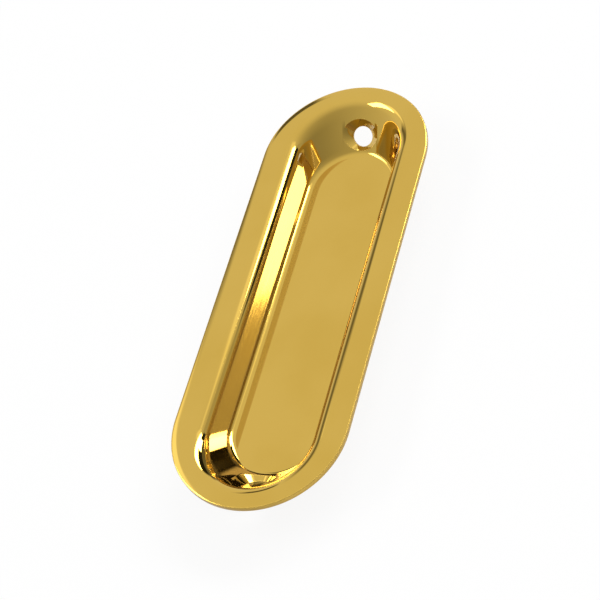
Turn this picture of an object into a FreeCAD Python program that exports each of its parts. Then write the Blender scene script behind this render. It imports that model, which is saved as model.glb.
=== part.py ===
import FreeCAD, Part

# Oblong flush pull for a pocket door, one solid brass forging.
# The pull lies face up: X runs across it, Y along it, and +Z comes out of the
# door. The origin is at the middle of the cup's flat underside. The flange lies
# on the face of the door with its flat back, the cup goes down into the mortise,
# and the finger recess opens upwards. All sizes are in millimetres.

import math
import os

from FreeCAD import Vector

# Flange, whose top rises from a low edge to a flat crest
FLANGE_LENGTH = 88.9
FLANGE_WIDTH = 31.75
EDGE_HEIGHT = 1.0
EDGE_RADIUS = 0.15
CROWN_RUN = 1.4
CROWN_RADIUS = 8.0

# Finger recess, its rims measured in the plane of the crest to the sharp mouth
RIM_AT_SIDES = 6.05
RIM_AT_ENDS = 3.4
RECESS_DEPTH = 7.3
SIDE_DRAFT = 8.0
END_RAMP = 47.0
LIP_RADIUS = 2.7
FOOT_RADIUS = 1.35

# Cup in the mortise
WALL = 1.4
FLOOR_THICKNESS = 1.4
OUTER_FOOT_RADIUS = 2.0
ROOT_CHAMFER = 0.5

# Countersunk screw holes, one in each end ramp, tilted from the door's normal
SCREW_BORE = 3.8
COUNTERSINK_DIAMETER = 5.9
COUNTERSINK_ANGLE = 90.0
SCREW_UP_RAMP = 3.3
SCREW_TILT = 41.0

# Worked out from the sizes above
CROWN_RISE = CROWN_RADIUS - math.sqrt(CROWN_RADIUS ** 2 - CROWN_RUN ** 2)
FLOOR_HEIGHT = FLOOR_THICKNESS
CREST_HEIGHT = FLOOR_HEIGHT + RECESS_DEPTH
SHOULDER_HEIGHT = CREST_HEIGHT - CROWN_RISE
BACK_HEIGHT = SHOULDER_HEIGHT - EDGE_HEIGHT
SIDE_RUN_PER_MM = math.tan(math.radians(SIDE_DRAFT))
END_RUN_PER_MM = 1.0 / math.tan(math.radians(END_RAMP))
MOUTH_HALF_WIDTH = FLANGE_WIDTH / 2 - RIM_AT_SIDES
MOUTH_HALF_LENGTH = FLANGE_LENGTH / 2 - RIM_AT_ENDS
WALL_ACROSS_SIDE = WALL / math.cos(math.radians(SIDE_DRAFT))
WALL_ALONG_END = WALL / math.sin(math.radians(END_RAMP))
BRASS_GRAMS_PER_MM3 = 8.5e-3
TOUCH = 1e-4


def both_ends(shape):
    """A shape, and its copy turned half round for the other end."""
    other = shape.copy()
    other.rotate(Vector(0, 0, 0), Vector(0, 0, 1), 180)
    return [shape, other]


def prism(points, sweep):
    """Solid prism whose section has these points, centred along its sweep."""
    solid = Part.Face(Part.makePolygon(points + points[:1])).extrude(sweep)
    solid.translate(sweep * -0.5)
    return solid


def half_disc(radius, centre, height):
    """Outline of the half disc that closes the +Y end of an oblong."""
    left = Vector(-radius, centre, height)
    right = Vector(radius, centre, height)
    arc = Part.Arc(right, Vector(0, centre + radius, height), left).toShape()
    return Part.Wire([arc, Part.makeLine(left, right)])


def oblong_solid(lower, upper):
    """Solid between two oblongs, with flat sides and sloping round ends.

    Each oblong is given as its half width, half length and height.
    """
    low_width, low_length, low = lower
    up_width, up_length, up = upper
    low_centre = low_length - low_width
    up_centre = up_length - up_width
    across = [
        Vector(-low_width, 0, low),
        Vector(low_width, 0, low),
        Vector(up_width, 0, up),
        Vector(-up_width, 0, up),
    ]
    along = [
        Vector(0, -low_centre, low),
        Vector(0, low_centre, low),
        Vector(0, up_centre, up),
        Vector(0, -up_centre, up),
    ]
    sides = prism(across, Vector(0, 2 * FLANGE_LENGTH, 0))
    middle = sides.common(prism(along, Vector(2 * FLANGE_WIDTH, 0, 0)))
    sections = [half_disc(low_width, low_centre, low), half_disc(up_width, up_centre, up)]
    end = Part.makeLoft(sections, True, True)
    return middle.fuse(both_ends(end)).removeSplitter()


def edges_at_height(solid, height):
    """Edges that lie wholly in the plane Z = height."""
    found = []
    for edge in solid.Edges:
        ends = [vertex.Z for vertex in edge.Vertexes]
        middle = edge.valueAt((edge.FirstParameter + edge.LastParameter) / 2).z
        if all(abs(z - height) < TOUCH for z in ends + [middle]):
            found.append(edge)
    return found


def arc_in_section(centre, radius, start, end):
    """Arc in the XZ plane between two angles, measured from +X towards +Z."""
    points = []
    for angle in (start, (start + end) / 2, end):
        points.append(centre + Vector(radius * math.cos(angle), 0, radius * math.sin(angle)))
    return Part.Arc(*points).toShape()


def flange_profile():
    """Half section of the flange before the recess, from its middle outwards."""
    outer = FLANGE_WIDTH / 2
    crown_centre = Vector(outer - CROWN_RUN, 0, CREST_HEIGHT - CROWN_RADIUS)
    corner_x = outer - EDGE_RADIUS
    reach = CROWN_RADIUS - EDGE_RADIUS
    corner_rise = math.sqrt(reach ** 2 - (corner_x - crown_centre.x) ** 2)
    corner_centre = Vector(corner_x, 0, crown_centre.z + corner_rise)
    shoulder_angle = math.atan2(corner_rise, corner_x - crown_centre.x)
    back = Vector(0, 0, BACK_HEIGHT)
    back_edge = Vector(outer, 0, BACK_HEIGHT)
    crest = Vector(crown_centre.x, 0, CREST_HEIGHT)
    middle = Vector(0, 0, CREST_HEIGHT)
    edges = [
        Part.makeLine(back, back_edge),
        Part.makeLine(back_edge, Vector(outer, 0, corner_centre.z)),
        arc_in_section(corner_centre, EDGE_RADIUS, 0, shoulder_angle),
        arc_in_section(crown_centre, CROWN_RADIUS, shoulder_angle, math.pi / 2),
        Part.makeLine(crest, middle),
        Part.makeLine(middle, back),
    ]
    return Part.Face(Part.Wire(edges))


def flange_body():
    """Solid oblong flange with its crown, before the recess is sunk."""
    centre = (FLANGE_LENGTH - FLANGE_WIDTH) / 2
    half = flange_profile()
    side = half.extrude(Vector(0, 2 * centre, 0))
    side.translate(Vector(0, -centre, 0))
    end = half.revolve(Vector(0, 0, 0), Vector(0, 0, 1), 180)
    end.translate(Vector(0, centre, 0))
    sides = both_ends(side)
    return sides[0].fuse(sides[1:] + both_ends(end)).removeSplitter()


def recess_section(height, wider=0.0, longer=0.0):
    """Half width, half length and height of the recess, grown if asked."""
    below_crest = CREST_HEIGHT - height
    half_width = MOUTH_HALF_WIDTH - below_crest * SIDE_RUN_PER_MM + wider
    half_length = MOUTH_HALF_LENGTH - below_crest * END_RUN_PER_MM + longer
    return half_width, half_length, height


def recess_tool():
    """Finger recess as a solid: drafted sides, sloping ends, rounded foot."""
    above = CREST_HEIGHT + EDGE_HEIGHT
    tool = oblong_solid(recess_section(FLOOR_HEIGHT), recess_section(above))
    return tool.makeFillet(FOOT_RADIUS, edges_at_height(tool, FLOOR_HEIGHT))


def cup_body():
    """Outside of the cup, one wall outside the recess and rounded below."""
    into_flange = BACK_HEIGHT + EDGE_HEIGHT / 2
    cup = oblong_solid(
        recess_section(0, WALL_ACROSS_SIDE, WALL_ALONG_END),
        recess_section(into_flange, WALL_ACROSS_SIDE, WALL_ALONG_END),
    )
    return cup.makeFillet(OUTER_FOOT_RADIUS, edges_at_height(cup, 0))


def inner_edges(body, height):
    """Edges at one height that lie inside the outline of the crest or back."""
    found = []
    for edge in edges_at_height(body, height):
        point = edge.valueAt((edge.FirstParameter + edge.LastParameter) / 2)
        inside_width = abs(point.x) < FLANGE_WIDTH / 2 - CROWN_RUN - TOUCH
        inside_length = abs(point.y) < FLANGE_LENGTH / 2 - CROWN_RUN - TOUCH
        if inside_width and inside_length:
            found.append(edge)
    return found


def screw_axis():
    """Point where the hole starts on the +Y ramp, and its direction outwards."""
    ramp = math.radians(END_RAMP)
    tilt = math.radians(SCREW_TILT)
    floor_end = MOUTH_HALF_LENGTH - RECESS_DEPTH * END_RUN_PER_MM
    point = Vector(
        0,
        floor_end + SCREW_UP_RAMP * math.cos(ramp),
        FLOOR_HEIGHT + SCREW_UP_RAMP * math.sin(ramp),
    )
    return point, Vector(0, -math.sin(tilt), math.cos(tilt))


def screw_tool():
    """Through bore and countersink of the +Y hole, as one solid to cut."""
    point, direction = screw_axis()
    spread = math.tan(math.radians(COUNTERSINK_ANGLE / 2))
    depth = (COUNTERSINK_DIAMETER - SCREW_BORE) / 2 / spread
    mouth_radius = COUNTERSINK_DIAMETER / 2 + WALL * spread
    bore = Part.makeCylinder(SCREW_BORE / 2, 3 * WALL, point - direction * 2 * WALL, direction)
    cone = Part.makeCone(
        SCREW_BORE / 2, mouth_radius, depth + WALL, point - direction * depth, direction)
    return bore.fuse(cone)


def make_pull():
    """The finished pull as one solid."""
    body = flange_body().fuse(cup_body()).removeSplitter()
    body = body.makeChamfer(ROOT_CHAMFER, inner_edges(body, BACK_HEIGHT))
    body = body.cut(recess_tool())
    body = body.makeFillet(LIP_RADIUS, inner_edges(body, CREST_HEIGHT))
    return body.cut(both_ends(screw_tool()))


def main():
    """Builds the pull, reports its size and weight, and writes its file."""
    pull = make_pull()
    solid = pull.Solids[0]
    box = solid.optimalBoundingBox(False)
    print("solids", len(pull.Solids), "valid", pull.isValid(), "faces", len(solid.Faces))
    print("weight in grams", round(solid.Volume * BRASS_GRAMS_PER_MM3, 1))
    print("box", round(box.XLength, 3), round(box.YLength, 3), round(box.ZMin, 3), round(box.ZMax, 3))
    os.makedirs("parts", exist_ok=True)
    solid.exportStep("parts/flush_pull.step")


main()
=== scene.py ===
import logging
import math
from collections.abc import Callable
from dataclasses import dataclass, field
from enum import Enum

import bmesh
import bpy
from mathutils import Matrix, Vector


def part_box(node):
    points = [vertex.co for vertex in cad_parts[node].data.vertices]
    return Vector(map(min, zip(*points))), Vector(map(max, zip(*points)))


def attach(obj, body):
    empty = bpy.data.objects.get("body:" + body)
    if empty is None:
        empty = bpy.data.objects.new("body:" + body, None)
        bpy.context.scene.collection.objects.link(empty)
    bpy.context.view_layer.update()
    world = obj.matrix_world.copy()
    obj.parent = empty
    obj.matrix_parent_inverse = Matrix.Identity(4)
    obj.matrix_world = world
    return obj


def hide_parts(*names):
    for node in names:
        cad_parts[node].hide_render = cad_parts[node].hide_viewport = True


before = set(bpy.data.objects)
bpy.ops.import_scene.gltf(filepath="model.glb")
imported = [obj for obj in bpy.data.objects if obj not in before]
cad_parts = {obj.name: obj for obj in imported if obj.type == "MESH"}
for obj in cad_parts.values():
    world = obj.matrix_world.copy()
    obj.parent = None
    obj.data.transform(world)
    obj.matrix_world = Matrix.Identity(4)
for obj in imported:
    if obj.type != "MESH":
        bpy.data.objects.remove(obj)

MM = 0.001
NODE = "flush_pull"
IMAGE_SIDE = 600
LOG = logging.getLogger("flush_pull")

# The Mix node has sockets of the same names for each kind of value. These are its colours.
MIX_FIRST_COLOUR = 6
MIX_SECOND_COLOUR = 7
MIX_COLOUR_RESULT = 2

# Upward part of a normal above which a face counts as the top of its solid
TOP_FACE = 0.9

Colour = tuple[float, float, float, float]
Range = tuple[float, float]
Triple = tuple[float, float, float]


class StudioSide(Enum):
    """Side of the studio on which a softbox or a card stands."""

    BEYOND = "past the pull's far end, in a plane across Y"
    LEFT = "on the pull's -X side, in a plane across X"


@dataclass(frozen=True)
class Oblong:
    """Outline with straight sides and half round ends, at one height.

    Attributes:
        half_width: Half the outline's width, across X.
        half_length: Half the outline's length, along Y.
        height: Height of the outline's plane.
    """

    half_width: float
    half_length: float
    height: float

    @property
    def centre(self) -> float:
        """Distance from the middle to the centre of each round end."""
        return self.half_length - self.half_width


@dataclass(frozen=True)
class PullSizes:
    """Driving sizes of the pull, in metres and radians.

    Attributes:
        length: The flange's length, along Y.
        width: The flange's width, across X.
        crest_height: Height of the crest over the underside of the cup.
        edge_height: Height of the flange's low edge, from its back.
        edge_radius: Radius between that edge and the crown.
        back_break: Radius on the flange's back edge, which the solid leaves sharp.
        crown_run: Width over which the crown rises to the crest.
        crown_radius: Radius of the crown.
        rim_at_sides: Distance from the edge to the recess's unrounded mouth, at the sides.
        rim_at_ends: The same distance at the ends.
        floor_height: Height of the recess's floor.
        side_slope: Angle of the recess's sides from level.
        end_slope: Angle of its ends from level.
        lip_radius: Radius round the recess's mouth.
        foot_radius: Radius round its floor.
        wall: Thickness of the cup's walls.
        outer_foot_radius: Radius round the cup's underside.
        back_fillet: Radius where the cup meets the flange's back. The solid has a chamfer there.
        screw_bore: Diameter of the screw holes.
        countersink_diameter: Diameter of their countersinks, on the sloping end.
        screw_up_ramp: Distance up the sloping end from the floor to a hole's middle.
        screw_tilt: Angle of a hole's axis from upright.
    """

    length: float
    width: float
    crest_height: float
    edge_height: float = 1.0 * MM
    edge_radius: float = 0.15 * MM
    back_break: float = 0.08 * MM
    crown_run: float = 1.4 * MM
    crown_radius: float = 8.0 * MM
    rim_at_sides: float = 6.05 * MM
    rim_at_ends: float = 3.4 * MM
    floor_height: float = 1.4 * MM
    side_slope: float = math.radians(82)
    end_slope: float = math.radians(47)
    lip_radius: float = 2.7 * MM
    foot_radius: float = 1.35 * MM
    wall: float = 1.4 * MM
    outer_foot_radius: float = 2.0 * MM
    back_fillet: float = 0.5 * MM
    screw_bore: float = 3.8 * MM
    countersink_diameter: float = 5.9 * MM
    screw_up_ramp: float = 3.3 * MM
    screw_tilt: float = math.radians(41)

    @classmethod
    def from_frame(cls) -> "PullSizes":
        """Sizes whose outer box is that of the CAD node."""
        low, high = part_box(NODE)
        return cls(length=high[1] - low[1], width=high[0] - low[0], crest_height=high[2])

    @property
    def back_height(self) -> float:
        """Height of the flange's flat back over the floor."""
        crown_rise = self.crown_radius - math.sqrt(self.crown_radius ** 2 - self.crown_run ** 2)
        return self.crest_height - crown_rise - self.edge_height

    @property
    def mouth(self) -> Oblong:
        """Outline in which the recess's walls would meet the crest, unrounded."""
        return Oblong(
            self.width / 2 - self.rim_at_sides,
            self.length / 2 - self.rim_at_ends,
            self.crest_height,
        )

    def wall_outline(self, height: float, thickness: float = 0.0) -> Oblong:
        """Outline of the recess's plane walls, or of the cup's outside.

        Args:
            height: Height at which the outline is taken.
            thickness: How far the outline lies outside the recess, square to its walls.

        Returns:
            The outline, without its rounded corners.
        """
        drop = self.crest_height - height
        half_width = self.mouth.half_width - drop / math.tan(self.side_slope)
        half_length = self.mouth.half_length - drop / math.tan(self.end_slope)
        return Oblong(
            half_width + thickness / math.sin(self.side_slope),
            half_length + thickness / math.sin(self.end_slope),
            height,
        )


def rounded_run(rise: float, radius: float, slope: float) -> float:
    """Run of a rounded corner between a level face and a wall.

    Args:
        rise: Distance from the level face, square to it.
        radius: Radius of the corner.
        slope: Angle of the wall from level.

    Returns:
        The run from the sharp corner, negative where the rounding starts.
    """
    if rise < radius * (1 - math.cos(slope)):
        return math.sqrt(rise * (2 * radius - rise)) - radius * math.tan(slope / 2)
    return rise / math.tan(slope)


@dataclass
class PullBody:
    """The pull in one piece: crowned flange, cup, recess and screw holes.

    Attributes:
        sizes: Driving sizes.
        steps_per_end: Segments of each half round end.
        step_angle: Turn of a rounded corner from one outline to the next.
        margin: Width of the narrow strip that keeps a level face's shading level.
        end_margin: Length of the straight sides' last segments.
        break_steps: Segments round the flange's back edge.
        corner_steps: Segments round the corner between its edge and its crown.
        crown_steps: Segments over the crown.
        cutter_sides: Sides of the screw holes.
        smooth_angle: Angle between faces up to which they are shaded as one.
        outlines: The outlines that the pull was grown through, filled in by build.
    """

    sizes: PullSizes
    steps_per_end: int = 128
    step_angle: float = math.radians(4)
    margin: float = 0.06 * MM
    end_margin: float = 1.0 * MM
    break_steps: int = 3
    corner_steps: int = 6
    crown_steps: int = 8
    cutter_sides: int = 96
    smooth_angle: float = math.radians(30)
    outlines: list[Oblong] = field(default_factory=list)

    def corner(self, level: Oblong, radius: float, inwards: bool, downwards: bool) -> list[Oblong]:
        """Outlines round one corner, from the level face to the steeper wall.

        Args:
            level: Outline in which the walls would meet the level face, unrounded.
            radius: Radius of the corner.
            inwards: True where the walls run towards the middle.
            downwards: True where the walls go down from the level face.

        Returns:
            The outlines, with one where each wall's rounding ends.
        """
        sizes = self.sizes
        angles = [0.0]
        for slope in (sizes.end_slope, sizes.side_slope):
            count = max(1, round((slope - angles[-1]) / self.step_angle))
            start = angles[-1]
            angles += [start + (slope - start) * (k + 1) / count for k in range(count)]
        found = []
        out = -1 if inwards else 1
        up = -1 if downwards else 1
        for angle in angles:
            rise = radius * (1 - math.cos(angle))
            found.append(Oblong(
                level.half_width + out * rounded_run(rise, radius, sizes.side_slope),
                level.half_length + out * rounded_run(rise, radius, sizes.end_slope),
                level.height + up * rise,
            ))
        return found

    def flange_outline(self, inset: float, height: float) -> Oblong:
        """Outline that lies one inset inside the flange's edge."""
        sizes = self.sizes
        return Oblong(sizes.width / 2 - inset, sizes.length / 2 - inset, height)

    def flange_edge(self) -> list[Oblong]:
        """Outlines from the flange's back over its edge and crown to the crest."""
        sizes = self.sizes
        found = []
        for k in range(self.break_steps + 1):
            turn = math.radians(90 * k / self.break_steps)
            inset = sizes.back_break * (1 - math.sin(turn))
            rise = sizes.back_break * (1 - math.cos(turn))
            found.append(self.flange_outline(inset, sizes.back_height + rise))
        crown_z = sizes.crest_height - sizes.crown_radius
        across = sizes.crown_run - sizes.edge_radius
        corner_rise = math.sqrt((sizes.crown_radius - sizes.edge_radius) ** 2 - across ** 2)
        shoulder = math.atan2(corner_rise, across)
        for k in range(self.corner_steps + 1):
            angle = shoulder * k / self.corner_steps
            inset = sizes.edge_radius * (1 - math.cos(angle))
            height = crown_z + corner_rise + sizes.edge_radius * math.sin(angle)
            found.append(self.flange_outline(inset, height))
        for k in range(1, self.crown_steps + 1):
            angle = shoulder + (math.pi / 2 - shoulder) * k / self.crown_steps
            inset = sizes.crown_run - sizes.crown_radius * math.cos(angle)
            height = crown_z + sizes.crown_radius * math.sin(angle)
            found.append(self.flange_outline(inset, height))
        return found

    def inset(self, outline: Oblong, inset: float) -> Oblong:
        """The same outline, drawn in on every side."""
        return Oblong(outline.half_width - inset, outline.half_length - inset, outline.height)

    def draw_outlines(self) -> list[Oblong]:
        """All outlines of the pull, from under the cup round to its floor."""
        sizes = self.sizes
        under = self.corner(sizes.wall_outline(0.0, sizes.wall), sizes.outer_foot_radius, False, False)
        root_level = sizes.wall_outline(sizes.back_height, sizes.wall)
        root = self.corner(root_level, sizes.back_fillet, True, True)[::-1]
        edge = self.flange_edge()
        lip = self.corner(sizes.mouth, sizes.lip_radius, True, True)
        foot = self.corner(sizes.wall_outline(sizes.floor_height), sizes.foot_radius, False, False)[::-1]
        found = [self.inset(under[0], self.margin)] + under + root
        found += [self.inset(root[-1], -self.margin), self.inset(edge[0], self.margin)] + edge
        found += [self.inset(edge[-1], self.margin), self.inset(lip[0], -self.margin)] + lip
        found += foot + [self.inset(foot[-1], self.margin)]
        return found

    def build(self) -> bpy.types.Object:
        """Models the pull and cuts its screw holes.

        Returns:
            The finished object, at the origin.
        """
        self.outlines = self.draw_outlines()
        pull = self.start_ring(self.outlines[0])
        for lower, upper in zip(self.outlines, self.outlines[1:]):
            self.grow_ring(pull, lower, upper)
        self.close_rings(pull)
        for side in (1, -1):
            self.cut(pull, self.screw_cutter(side))
        deselect_all()
        select_only(pull)
        bpy.ops.object.shade_smooth_by_angle(angle=self.smooth_angle)
        pull.name = "polished_pull"
        pull.data.name = "polished_pull"
        return pull

    @property
    def ends_from(self) -> float:
        """Distance from the middle past which a vertex belongs to a round end."""
        return min(outline.centre for outline in self.outlines) - self.end_margin / 2

    @property
    def ring_count(self) -> int:
        """Vertices of one outline: two round ends and two points on each side."""
        return 2 * self.steps_per_end + 4

    def start_ring(self, outline: Oblong) -> bpy.types.Object:
        """Draws the first outline, from a circle drawn out lengthwise."""
        deselect_all()
        half_step = math.pi / (2 * self.steps_per_end)
        bpy.ops.mesh.primitive_circle_add(
            vertices=2 * self.steps_per_end, radius=outline.half_width,
            location=(0, 0, outline.height), rotation=(0, 0, half_step))
        pull = bpy.context.object
        bpy.ops.object.transform_apply(location=True, rotation=True, scale=True)
        bpy.ops.object.mode_set(mode="EDIT")
        for side in (1, -1):
            select_vertices(pull, lambda at: at.y * side > 0)
            bpy.ops.transform.translate(value=(0, side * outline.centre, 0))
        mesh = bmesh.from_edit_mesh(pull.data)
        for edge in mesh.edges:
            edge.select_set(edge.calc_length() > outline.centre)
        bmesh.update_edit_mesh(pull.data)
        bpy.ops.mesh.subdivide(number_cuts=2)
        third = self.ends_from - self.end_margin / 2 - outline.centre / 3
        for side in (1, -1):
            select_vertices(pull, lambda at: 0 < at.y * side < outline.centre / 2)
            bpy.ops.transform.translate(value=(0, side * third, 0))
        select_vertices(pull, lambda at: True)
        return pull

    def grow_ring(self, pull: bpy.types.Object, lower: Oblong, upper: Oblong) -> None:
        """Extrudes the last outline into the next one.

        Args:
            pull: The pull, in edit mode with its last outline selected.
            lower: The last outline.
            upper: The next outline.
        """
        rise = upper.height - lower.height
        bpy.ops.mesh.extrude_edges_move(TRANSFORM_OT_translate={"value": (0, 0, rise)})
        grown = upper.half_width / lower.half_width
        for side in (1, -1):
            self.select_ring(pull, lambda at: at.y * side > self.ends_from)
            bpy.ops.transform.resize(
                value=(grown, grown, 1), center_override=(0, side * lower.centre, upper.height))
            bpy.ops.transform.translate(value=(0, side * (upper.centre - lower.centre), 0))
        self.select_ring(pull, lambda at: abs(at.y) < self.ends_from)
        bpy.ops.transform.resize(value=(grown, 1, 1), center_override=(0, 0, upper.height))
        self.select_ring(pull, lambda at: True)

    def select_ring(self, pull: bpy.types.Object, wanted: Callable[[Vector], bool],
                    last: bool = True) -> None:
        """Selects the vertices of one outline whose place is wanted.

        Args:
            pull: The pull, in edit mode.
            wanted: Test of a vertex's place.
            last: True for the last outline, False for the first.
        """
        mesh = bmesh.from_edit_mesh(pull.data)
        mesh.verts.ensure_lookup_table()
        first = len(mesh.verts) - self.ring_count if last else 0
        for vertex in mesh.verts:
            vertex.select_set(False)
        for vertex in mesh.verts[first:first + self.ring_count]:
            vertex.select_set(wanted(vertex.co))
        mesh.select_flush(True)
        bmesh.update_edit_mesh(pull.data)

    def close_rings(self, pull: bpy.types.Object) -> None:
        """Fills the first and last outlines, and turns all faces outwards."""
        for last in (True, False):
            self.select_ring(pull, lambda at: True, last)
            bpy.ops.mesh.edge_face_add()
        bpy.ops.mesh.select_all(action="SELECT")
        bpy.ops.mesh.normals_make_consistent(inside=False)
        bpy.ops.object.mode_set(mode="OBJECT")

    def screw_cutter(self, side: int) -> bpy.types.Object:
        """Drill and countersink of one hole, as one solid to cut.

        Args:
            side: 1 for the +Y end, -1 for the other.

        Returns:
            The cutter, in its place.
        """
        sizes = self.sizes
        floor_end = sizes.wall_outline(sizes.floor_height).half_length
        along = floor_end + sizes.screw_up_ramp * math.cos(sizes.end_slope)
        height = sizes.floor_height + sizes.screw_up_ramp * math.sin(sizes.end_slope)
        sink = (sizes.countersink_diameter - sizes.screw_bore) / 2
        above = 2 * sizes.wall
        below = 3 * sizes.wall
        deselect_all()
        bpy.ops.mesh.primitive_cylinder_add(
            vertices=self.cutter_sides, radius=sizes.screw_bore / 2, depth=below - sink,
            location=(0, 0, -sink - (below - sink) / 2))
        cutter = bpy.context.object
        bpy.ops.object.transform_apply(location=True, rotation=True, scale=True)
        bpy.ops.object.mode_set(mode="EDIT")
        select_faces(cutter, lambda normal: normal.z > TOP_FACE)
        rise = sink + above
        bpy.ops.mesh.extrude_region_move(TRANSFORM_OT_translate={"value": (0, 0, rise)})
        wider = (sizes.countersink_diameter / 2 + above) / (sizes.screw_bore / 2)
        bpy.ops.transform.resize(value=(wider, wider, 1), center_override=(0, 0, above))
        bpy.ops.object.mode_set(mode="OBJECT")
        tilt = Matrix.Rotation(side * sizes.screw_tilt, 4, "X")
        cutter.matrix_world = Matrix.Translation((0, side * along, height)) @ tilt
        bpy.ops.object.transform_apply(location=True, rotation=True, scale=True)
        return cutter

    def cut(self, pull: bpy.types.Object, cutter: bpy.types.Object) -> None:
        """Cuts a solid out of the pull and deletes it.

        Args:
            pull: The pull.
            cutter: The solid to cut.
        """
        deselect_all()
        select_only(pull)
        modifier = pull.modifiers.new("screw hole", "BOOLEAN")
        modifier.operation = "DIFFERENCE"
        modifier.solver = "EXACT"
        modifier.object = cutter
        bpy.ops.object.modifier_apply(modifier=modifier.name)
        bpy.data.objects.remove(cutter)

    def dress(self, pull: bpy.types.Object, finish: "PolishedBrass") -> None:
        """Gives the pull its finish, its body and its place in the frame.

        Args:
            pull: The finished object.
            finish: The brass that it is made of.
        """
        pull.data.materials.clear()
        pull.data.materials.append(finish.material())
        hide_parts(NODE)
        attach(pull, "root")


def deselect_all() -> None:
    """Leaves object mode ready for the next operator, with nothing selected."""
    if bpy.context.object and bpy.context.object.mode != "OBJECT":
        bpy.ops.object.mode_set(mode="OBJECT")
    bpy.ops.object.select_all(action="DESELECT")


def select_only(thing: bpy.types.Object) -> None:
    """Makes one object the selected and active one."""
    thing.select_set(True)
    bpy.context.view_layer.objects.active = thing


def select_vertices(thing: bpy.types.Object, wanted: Callable[[Vector], bool]) -> None:
    """Selects the vertices of an object in edit mode whose place is wanted."""
    mesh = bmesh.from_edit_mesh(thing.data)
    for vertex in mesh.verts:
        vertex.select_set(False)
    for vertex in mesh.verts:
        vertex.select_set(wanted(vertex.co))
    mesh.select_flush(True)
    bmesh.update_edit_mesh(thing.data)


def select_faces(thing: bpy.types.Object, wanted: Callable[[Vector], bool]) -> None:
    """Selects the faces of an object in edit mode whose normal is wanted."""
    mesh = bmesh.from_edit_mesh(thing.data)
    for face in mesh.faces:
        face.select_set(False)
    for face in mesh.faces:
        face.select_set(wanted(face.normal))
    bmesh.update_edit_mesh(thing.data)


class NodeSheet:
    """The node tree of one material or world, with short ways to add to it."""

    def __init__(self, tree: bpy.types.NodeTree) -> None:
        """Takes the tree that the nodes go into."""
        self.tree = tree

    def add(self, kind: str, **values: object) -> bpy.types.Node:
        """Adds a node.

        Args:
            kind: Its type, without the leading ShaderNode.
            values: Its properties, by name.

        Returns:
            The new node.
        """
        node = self.tree.nodes.new("ShaderNode" + kind)
        for name, value in values.items():
            setattr(node, name, value)
        return node

    def link(self, source: bpy.types.NodeSocket, target: bpy.types.NodeSocket) -> None:
        """Joins an output to an input."""
        self.tree.links.new(source, target)

    def noise(self, place: bpy.types.NodeSocket, grain: float, detail: float) -> bpy.types.NodeSocket:
        """Noise whose patches are about one grain across.

        Args:
            place: Coordinates in metres.
            grain: Size of a patch.
            detail: How many finer layers lie over the patches.

        Returns:
            The noise, about 0.5 in the middle.
        """
        node = self.add("TexNoise")
        node.inputs["Scale"].default_value = 1.0 / grain
        node.inputs["Detail"].default_value = detail
        self.link(place, node.inputs["Vector"])
        return node.outputs["Fac"]

    def map(self, value: bpy.types.NodeSocket, given: Range,
            wanted: Range) -> bpy.types.NodeSocket:
        """Maps a range of values smoothly onto another.

        Args:
            value: The value to map.
            given: The range that it is given in.
            wanted: The range that comes out.

        Returns:
            The mapped value.
        """
        node = self.add("MapRange", interpolation_type="SMOOTHSTEP")
        node.inputs["From Min"].default_value = given[0]
        node.inputs["From Max"].default_value = given[1]
        node.inputs["To Min"].default_value = wanted[0]
        node.inputs["To Max"].default_value = wanted[1]
        self.link(value, node.inputs["Value"])
        return node.outputs["Result"]

    def math(self, operation: str, first: bpy.types.NodeSocket,
             second: "bpy.types.NodeSocket | float") -> bpy.types.NodeSocket:
        """Combines a value with another value or a number.

        Args:
            operation: Name of the Math node's operation.
            first: The first value.
            second: The second value, or a number.

        Returns:
            The result.
        """
        node = self.add("Math", operation=operation)
        self.link(first, node.inputs[0])
        if isinstance(second, (int, float)):
            node.inputs[1].default_value = second
        else:
            self.link(second, node.inputs[1])
        return node.outputs["Value"]

    def blend(self, share: bpy.types.NodeSocket, first: "bpy.types.NodeSocket | tuple",
              second: Colour) -> bpy.types.NodeSocket:
        """Blends one colour into another.

        Args:
            share: How much of the second colour shows.
            first: The first colour, or an output that has it.
            second: The second colour.

        Returns:
            The blended colour.
        """
        node = self.add("Mix", data_type="RGBA")
        self.link(share, node.inputs["Factor"])
        if isinstance(first, tuple):
            node.inputs[MIX_FIRST_COLOUR].default_value = first
        else:
            self.link(first, node.inputs[MIX_FIRST_COLOUR])
        node.inputs[MIX_SECOND_COLOUR].default_value = second
        return node.outputs[MIX_COLOUR_RESULT]

    def bump(self, height: bpy.types.NodeSocket, relief: float,
             under: "bpy.types.NodeSocket | None" = None) -> bpy.types.NodeSocket:
        """Turns a height into a bumped normal.

        Args:
            height: The height, from 0 to 1.
            relief: Height in metres that 1 stands for.
            under: A coarser bumped normal that this one lies on.

        Returns:
            The normal.
        """
        node = self.add("Bump")
        node.inputs["Strength"].default_value = 1.0
        node.inputs["Distance"].default_value = relief
        self.link(height, node.inputs["Height"])
        if under is not None:
            self.link(under, node.inputs["Normal"])
        return node.outputs["Normal"]


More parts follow.
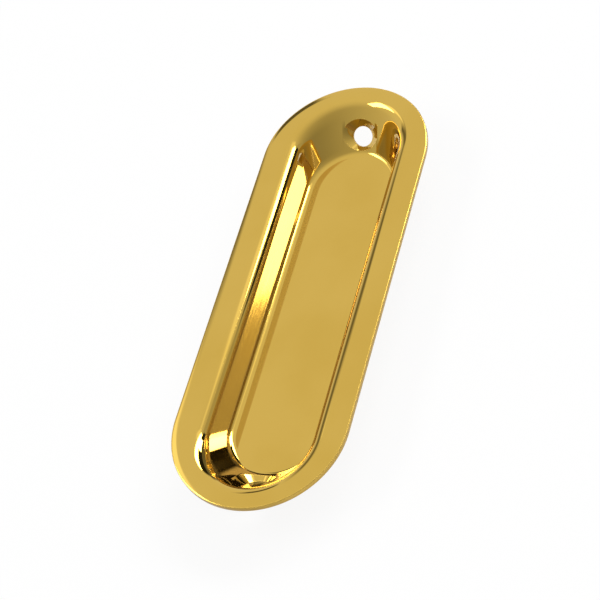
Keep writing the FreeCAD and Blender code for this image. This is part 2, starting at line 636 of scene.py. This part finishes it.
@dataclass(frozen=True)
class PolishedBrass:
    """Bright brass with a clear coat, duller and paler along its sharp edges.

    The colours were chosen by the photo's tones. The clouds, the marks and
    the waviness are too fine to be seen in the photo and are the builder's own.

    Attributes:
        colour: Colour of the bright metal.
        wall_reflection_colour: Colour of the recess's steep walls, set paler than the metal so that light
            mirrored on a wall and then on the floor is about as pale as in the photo.
        wall_tilts: Upward parts of the normals between which that colour fades out.
        wall_reach: Distance from the middle plane past which that colour is full.
        warm_colour: Colour of the slightly warmer clouds.
        edge_colour: Colour of the sharp edges.
        bright_roughness: Roughness of the best buffed places.
        dull_roughness: Roughness of the least buffed places.
        edge_roughness: Roughness of the sharp edges, which keeps them from glinting.
        lacquer: Share of the surface's gloss that a clear coat adds.
        lacquer_roughness: Roughness of that coat.
        cloud: Size of the clouds.
        wave: Length of the slight waviness in the polish.
        wave_relief: Height of that waviness.
        mark: Width of a buffing mark.
        mark_stretch: How many times longer than wide a mark is.
        mark_relief: Height of the buffing marks.
        edge_reach: How far from a sharp edge its line goes.
        edge_patch: Size of the patches in that line.
        cloud_range: Values of the noise between which the clouds fade in.
        mark_range: Values of the marks between which the roughness grows.
        patch_range: Values of the noise between which the patches fade in.
        patch_levels: Strength of the line off and on the patches.
        edge_likeness: How like the rounded normal is to the true one on a full edge and off it.
        edge_samples: Samples that the rounded normal is found with.
        cloud_layers: Finer layers of noise over the clouds.
        wave_layers: The same for the waviness.
        mark_layers: The same for the marks.
        patch_layers: The same for the patches.
    """

    colour: Colour = (0.630, 0.417, 0.081, 1.0)
    wall_reflection_colour: Colour = (0.680, 0.555, 0.320, 1.0)
    wall_tilts: Range = (0.25, 0.50)
    wall_reach: float = 2.0 * MM
    warm_colour: Colour = (0.600, 0.390, 0.068, 1.0)
    edge_colour: Colour = (0.700, 0.480, 0.110, 1.0)
    bright_roughness: float = 0.035
    dull_roughness: float = 0.085
    edge_roughness: float = 0.60
    lacquer: float = 0.15
    lacquer_roughness: float = 0.05
    cloud: float = 18.0 * MM
    wave: float = 9.0 * MM
    wave_relief: float = 0.006 * MM
    mark: float = 0.25 * MM
    mark_stretch: float = 25.0
    mark_relief: float = 0.0001 * MM
    edge_reach: float = 0.3 * MM
    edge_patch: float = 2.5 * MM
    cloud_range: Range = (0.35, 0.7)
    mark_range: Range = (0.3, 0.75)
    patch_range: Range = (0.3, 0.6)
    patch_levels: Range = (0.7, 1.0)
    edge_likeness: Range = (0.95, 0.998)
    edge_samples: int = 6
    cloud_layers: float = 3.0
    wave_layers: float = 1.0
    mark_layers: float = 4.0
    patch_layers: float = 3.0

    def material(self) -> bpy.types.Material:
        """Builds the node material.

        Returns:
            The material, whose patterns lie on Object coordinates.
        """
        material = bpy.data.materials.new("polished_brass")
        material.use_nodes = True
        sheet = NodeSheet(material.node_tree)
        place = sheet.add("TexCoord").outputs["Object"]
        clouds = sheet.noise(place, self.cloud, self.cloud_layers)
        clouds = sheet.map(clouds, self.cloud_range, (0.0, 1.0))
        marks = self.buffing(sheet, place)
        edges = self.sharp_edges(sheet, place)
        shader = material.node_tree.nodes["Principled BSDF"]
        shader.inputs["Metallic"].default_value = 1.0
        shader.inputs["Coat Weight"].default_value = self.lacquer
        shader.inputs["Coat Roughness"].default_value = self.lacquer_roughness
        tone = sheet.blend(clouds, self.colour, self.warm_colour)
        # The recess's steep walls get a paler colour: painted paleness for the light that they mirror onto
        # the floor.
        tone = sheet.blend(self.recess_walls(sheet, place), tone, self.wall_reflection_colour)
        sheet.link(sheet.blend(edges, tone, self.edge_colour), shader.inputs["Base Color"])
        buffed = sheet.map(marks, self.mark_range, (self.bright_roughness, self.dull_roughness))
        dulled = sheet.map(edges, (0.0, 1.0), (0.0, self.edge_roughness - self.bright_roughness))
        sheet.link(sheet.math("ADD", buffed, dulled), shader.inputs["Roughness"])
        wavy = sheet.bump(sheet.noise(place, self.wave, self.wave_layers), self.wave_relief)
        sheet.link(sheet.bump(marks, self.mark_relief, wavy), shader.inputs["Normal"])
        return material

    def recess_walls(self, sheet: NodeSheet, place: bpy.types.NodeSocket) -> bpy.types.NodeSocket:
        """Finds the steep walls that face the middle of the recess.

        Args:
            sheet: The material's nodes.
            place: Object coordinates.

        Returns:
            1 on those walls, fading to 0 on level faces and outside the cup.
        """
        facing = sheet.add("SeparateXYZ")
        sheet.link(sheet.add("TexCoord").outputs["Normal"], facing.inputs["Vector"])
        across = sheet.add("SeparateXYZ")
        sheet.link(place, across.inputs["Vector"])
        upward = sheet.math("ABSOLUTE", facing.outputs["Z"], 0.0)
        steep = sheet.map(upward, self.wall_tilts, (1.0, 0.0))
        outward = sheet.math("MULTIPLY", facing.outputs["X"], across.outputs["X"])
        inward = sheet.map(outward, (-self.wall_reach, 0.0), (1.0, 0.0))
        return sheet.math("MULTIPLY", steep, inward)

    def buffing(self, sheet: NodeSheet, place: bpy.types.NodeSocket) -> bpy.types.NodeSocket:
        """Fine marks that run along the pull."""
        along = sheet.add("Mapping")
        along.inputs["Scale"].default_value = (1.0, 1.0 / self.mark_stretch, 1.0)
        sheet.link(place, along.inputs["Vector"])
        return sheet.noise(along.outputs["Vector"], self.mark, self.mark_layers)

    def sharp_edges(self, sheet: NodeSheet, place: bpy.types.NodeSocket) -> bpy.types.NodeSocket:
        """Finds a patchy line along the sharp edges.

        Args:
            sheet: The material's nodes.
            place: Object coordinates.

        Returns:
            1 on the sharpest edges, fading to 0 on faces.
        """
        rounded = sheet.add("Bevel", samples=self.edge_samples)
        rounded.inputs["Radius"].default_value = self.edge_reach
        true_normal = sheet.add("NewGeometry").outputs["Normal"]
        likeness = sheet.add("VectorMath", operation="DOT_PRODUCT")
        sheet.link(rounded.outputs["Normal"], likeness.inputs[0])
        sheet.link(true_normal, likeness.inputs[1])
        edge = sheet.map(likeness.outputs["Value"], self.edge_likeness, (1.0, 0.0))
        patches = sheet.noise(place, self.edge_patch, self.patch_layers)
        patches = sheet.map(patches, self.patch_range, self.patch_levels)
        return sheet.math("MULTIPLY", edge, patches)


@dataclass(frozen=True)
class WhiteFloor:
    """Plain white floor that keeps a faint shadow.

    Attributes:
        side: Length of its sides.
        brightness: Its colour, as a grey.
        roughness: Its roughness.
        shadow_share: How much of the lit floor and its shadow the camera sees. The rest is plain white.
    """

    side: float = 4.0
    brightness: float = 0.92
    roughness: float = 0.9
    shadow_share: float = 0.10

    def build(self) -> bpy.types.Object:
        """Lays the floor under the pull."""
        deselect_all()
        bpy.ops.mesh.primitive_plane_add(size=self.side, location=(0, 0, 0))
        floor = bpy.context.object
        floor.name = "studio_floor"
        material = bpy.data.materials.new("studio_floor")
        material.use_nodes = True
        sheet = NodeSheet(material.node_tree)
        nodes = material.node_tree.nodes
        matt = nodes["Principled BSDF"]
        matt.inputs["Base Color"].default_value = (self.brightness,) * 3 + (1.0,)
        matt.inputs["Roughness"].default_value = self.roughness
        glow = sheet.add("Emission")
        glow.inputs["Color"].default_value = (1.0, 1.0, 1.0, 1.0)
        path = sheet.add("LightPath")
        share = sheet.math("MULTIPLY", path.outputs["Is Camera Ray"], 1.0 - self.shadow_share)
        mix = sheet.add("MixShader")
        sheet.link(share, mix.inputs["Fac"])
        sheet.link(matt.outputs["BSDF"], mix.inputs[1])
        sheet.link(glow.outputs["Emission"], mix.inputs[2])
        sheet.link(mix.outputs["Shader"], nodes["Material Output"].inputs["Surface"])
        floor.data.materials.append(material)
        return floor


@dataclass(frozen=True)
class StudioSurround:
    """White surround, a little darker behind the camera in what the metal mirrors.

    Attributes:
        fill: Strength of the light that it gives to matt surfaces.
        dark_from: Direction of the dark room behind the camera.
        dark_level: Brightness of that room in the metal.
        dark_core: Angle from that direction up to which it is darkest.
        dark_reach: Angle from it at which the surround is white again.
    """

    fill: float = 0.50
    dark_from: Triple = (0.403, -0.596, -0.695)
    dark_level: float = 0.23
    dark_core: float = math.radians(30)
    dark_reach: float = math.radians(147)

    def build(self) -> None:
        """Sets the world's nodes."""
        world = bpy.data.worlds.new("studio_surround")
        bpy.context.scene.world = world
        world.use_nodes = True
        sheet = NodeSheet(world.node_tree)
        background = world.node_tree.nodes["Background"]
        background.inputs["Color"].default_value = (1.0, 1.0, 1.0, 1.0)
        path = sheet.add("LightPath")
        seen = sheet.math("MAXIMUM", path.outputs["Is Camera Ray"], path.outputs["Is Transmission Ray"])
        towards = sheet.add("VectorMath", operation="DOT_PRODUCT")
        sheet.link(sheet.add("TexCoord").outputs["Generated"], towards.inputs[0])
        towards.inputs[1].default_value = self.dark_from
        angle = sheet.math("ARCCOSINE", towards.outputs["Value"], 0.0)
        mirrored = sheet.map(angle, (self.dark_core, self.dark_reach), (self.dark_level, 1.0))
        lit = sheet.add("MapRange")
        lit.inputs["To Min"].default_value = self.fill
        sheet.link(path.outputs["Is Glossy Ray"], lit.inputs["Value"])
        sheet.link(mirrored, lit.inputs["To Max"])
        strength = sheet.add("MapRange")
        strength.inputs["To Max"].default_value = 1.0
        sheet.link(seen, strength.inputs["Value"])
        sheet.link(lit.outputs["Result"], strength.inputs["To Min"])
        sheet.link(strength.outputs["Result"], background.inputs["Strength"])


@dataclass(frozen=True)
class Upright:
    """Upright rectangle on one side of the studio, facing the pull.

    Attributes:
        side: The side on which it stands.
        along: Where it starts and ends, along that side.
        heights: Its bottom and its top.
        distance: How far from the pull it stands.
    """

    side: StudioSide
    along: Range
    heights: Range
    distance: float = 1.5

    @property
    def width(self) -> float:
        """Its level side."""
        return self.along[1] - self.along[0]

    @property
    def height(self) -> float:
        """Its upright side."""
        return self.heights[1] - self.heights[0]

    def matrix(self) -> Matrix:
        """Place of the rectangle, with its -Z side towards the pull."""
        across = sum(self.along) / 2
        level = sum(self.heights) / 2
        if self.side is StudioSide.BEYOND:
            centre = Vector((across, self.distance, level))
            front = Vector((0, -1, 0))
        else:
            centre = Vector((-self.distance, across, level))
            front = Vector((1, 0, 0))
        return Matrix.Translation(centre) @ front.to_track_quat("-Z", "Y").to_matrix().to_4x4()


@dataclass(frozen=True)
class Softbox:
    """Lamp with an even white front, which the brass mirrors.

    Attributes:
        name: Name of the lamp.
        stand: Its place and size.
        brightness: Brightness of its front, where the white surround has 1.
    """

    name: str
    stand: Upright
    brightness: float

    def build(self) -> bpy.types.Object:
        """Adds the lamp."""
        deselect_all()
        bpy.ops.object.light_add(type="AREA")
        lamp = bpy.context.object
        lamp.name = self.name
        lamp.data.shape = "RECTANGLE"
        lamp.data.size = self.stand.width
        lamp.data.size_y = self.stand.height
        lamp.data.energy = self.brightness * math.pi * self.stand.width * self.stand.height
        lamp.matrix_world = self.stand.matrix()
        lamp.visible_camera = False
        return lamp


@dataclass(frozen=True)
class Card:
    """Card with soft edges, which only the brass mirrors.

    Attributes:
        name: Name of the card.
        stand: Its place and size.
        brightness: Its brightness, where the white surround has 1.
        softness: Width of its fading edges, as shares of its width and its height.
    """

    name: str
    stand: Upright
    brightness: float
    softness: Range

    def build(self) -> bpy.types.Object:
        """Adds the card."""
        deselect_all()
        bpy.ops.mesh.primitive_plane_add(size=1.0)
        card = bpy.context.object
        card.name = self.name
        bpy.ops.transform.resize(value=(self.stand.width, self.stand.height, 1))
        bpy.ops.object.transform_apply(location=True, rotation=True, scale=True)
        card.matrix_world = self.stand.matrix()
        card.data.materials.append(self.material())
        card.visible_camera = False
        card.visible_diffuse = False
        card.visible_transmission = False
        card.visible_shadow = False
        return card

    def material(self) -> bpy.types.Material:
        """Builds the card's even glow, clear at its edges."""
        material = bpy.data.materials.new(self.name)
        material.use_nodes = True
        sheet = NodeSheet(material.node_tree)
        parts = sheet.add("SeparateXYZ")
        sheet.link(sheet.add("TexCoord").outputs["UV"], parts.inputs["Vector"])
        shares = []
        for axis, softness in zip("XY", self.softness):
            from_middle = sheet.math("ABSOLUTE", sheet.math("SUBTRACT", parts.outputs[axis], 0.5), 0.0)
            shares.append(sheet.map(from_middle, (0.5 - softness, 0.5), (1.0, 0.0)))
        grey = sheet.add("Emission")
        grey.inputs["Color"].default_value = (self.brightness,) * 3 + (1.0,)
        mix = sheet.add("MixShader")
        sheet.link(sheet.math("MULTIPLY", shares[0], shares[1]), mix.inputs["Fac"])
        sheet.link(sheet.add("BsdfTransparent").outputs["BSDF"], mix.inputs[1])
        sheet.link(grey.outputs["Emission"], mix.inputs[2])
        output = material.node_tree.nodes["Material Output"]
        sheet.link(mix.outputs["Shader"], output.inputs["Surface"])
        return material


@dataclass(frozen=True)
class Studio:
    """Floor, surround, softboxes, and the cards that only the brass mirrors.

    Softboxes and cards were placed and graded until the brass mirrored much the
    same tones from the photo's viewpoint as it does in the photo.

    Attributes:
        floor: The floor under the pull.
        surround: The white round about.
        softboxes: The lamps.
        cards: Black, grey and bright cards.
    """

    floor: WhiteFloor = WhiteFloor()
    surround: StudioSurround = StudioSurround()
    softboxes: tuple[Softbox, ...] = (
        Softbox("far_softbox", Upright(StudioSide.BEYOND, (-0.14, 2.00), (1.12, 1.74)), 11.0),
        Softbox("left_softbox", Upright(StudioSide.LEFT, (-0.98, 0.45), (1.30, 2.20)), 5.5),
    )
    cards: tuple[Card, ...] = (
        Card("black_card", Upright(StudioSide.BEYOND, (-0.18, 2.62), (0.34, 1.08)), 0.02, (0.05, 0.08)),
        Card("low_glow_card", Upright(StudioSide.BEYOND, (0.80, 1.64), (0.47, 1.20), 1.48),
             14.0, (0.07, 0.07)),
        Card("dark_flag", Upright(StudioSide.BEYOND, (-1.40, -0.93), (0.80, 1.52), 1.49), 0.15, (0.2, 0.2)),
        Card("low_card", Upright(StudioSide.BEYOND, (-0.30, 2.62), (-0.03, 0.47), 1.52), 0.20, (0.05, 0.2)),
        Card("side_card", Upright(StudioSide.BEYOND, (2.50, 4.8), (-0.1, 1.55), 1.53), 0.6, (0.05, 0.08)),
        Card("glow_card", Upright(StudioSide.BEYOND, (0.45, 2.55), (1.6, 3.0), 1.6), 1.4, (0.35, 0.35)),
        Card("left_glow_card", Upright(StudioSide.LEFT, (0.35, 1.20), (1.35, 2.30), 1.55), 1.7, (0.25, 0.25)),
        Card("grey_card", Upright(StudioSide.BEYOND, (-3.6, -1.40), (0.37, 2.4)), 0.20, (0.16, 0.5)),
    )

    def build(self) -> None:
        """Sets up the whole studio."""
        floor = self.floor.build()
        LOG.info("%s: %.1f m square", floor.name, self.floor.side)
        self.surround.build()
        for softbox in self.softboxes:
            lamp = softbox.build()
            LOG.info("%s: %.0f W", lamp.name, lamp.data.energy)
        for card in self.cards:
            card.build()
            LOG.info("%s: %.2f by %.2f m", card.name, card.stand.width, card.stand.height)


@dataclass(frozen=True)
class PhotoCamera:
    """Camera at the photograph's viewing angle.

    Attributes:
        place: Where the lens is.
        right: The picture's right, as a direction.
        down: The picture's down, as a direction.
        focal_pixels: Focal length in pixels of the square picture, IMAGE_SIDE pixels wide.
        sensor: Width of the camera's sensor, in millimetres.
        nearest: Distance from the lens at which the view begins.
    """

    place: Triple
    right: Triple
    down: Triple
    focal_pixels: float
    sensor: float = 36.0
    nearest: float = 10.0 * MM

    def build(self) -> bpy.types.Object:
        """Adds the camera and makes it the scene's."""
        deselect_all()
        bpy.ops.object.camera_add()
        camera = bpy.context.object
        camera.name = "photo_camera"
        camera.data.sensor_width = self.sensor
        camera.data.lens = self.sensor * self.focal_pixels / IMAGE_SIDE
        camera.data.clip_start = self.nearest
        right = Vector(self.right).normalized()
        up = -Vector(self.down).normalized()
        back = right.cross(up)
        turn = Matrix((right, up, back)).transposed().to_4x4()
        camera.matrix_world = Matrix.Translation(self.place) @ turn
        bpy.context.scene.camera = camera
        return camera


def main() -> None:
    """Builds the pull, its stage and its camera."""
    logging.basicConfig(level=logging.INFO, format="%(message)s")
    bpy.context.scene.view_settings.view_transform = "Standard"
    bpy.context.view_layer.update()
    body = PullBody(PullSizes.from_frame())
    pull = body.build()
    body.dress(pull, PolishedBrass())
    LOG.info("pull: %d vertices, %d faces", len(pull.data.vertices), len(pull.data.polygons))
    Studio().build()
    camera = PhotoCamera(
        place=(0.12696, -0.15849, 0.24179),
        right=(0.91076, 0.25414, -0.32546),
        down=(0.02894, -0.82552, -0.56363),
        focal_pixels=1774.6,
    ).build()
    LOG.info("%s: %.1f mm lens", camera.name, camera.data.lens)


if __name__ == "__main__":
    main()
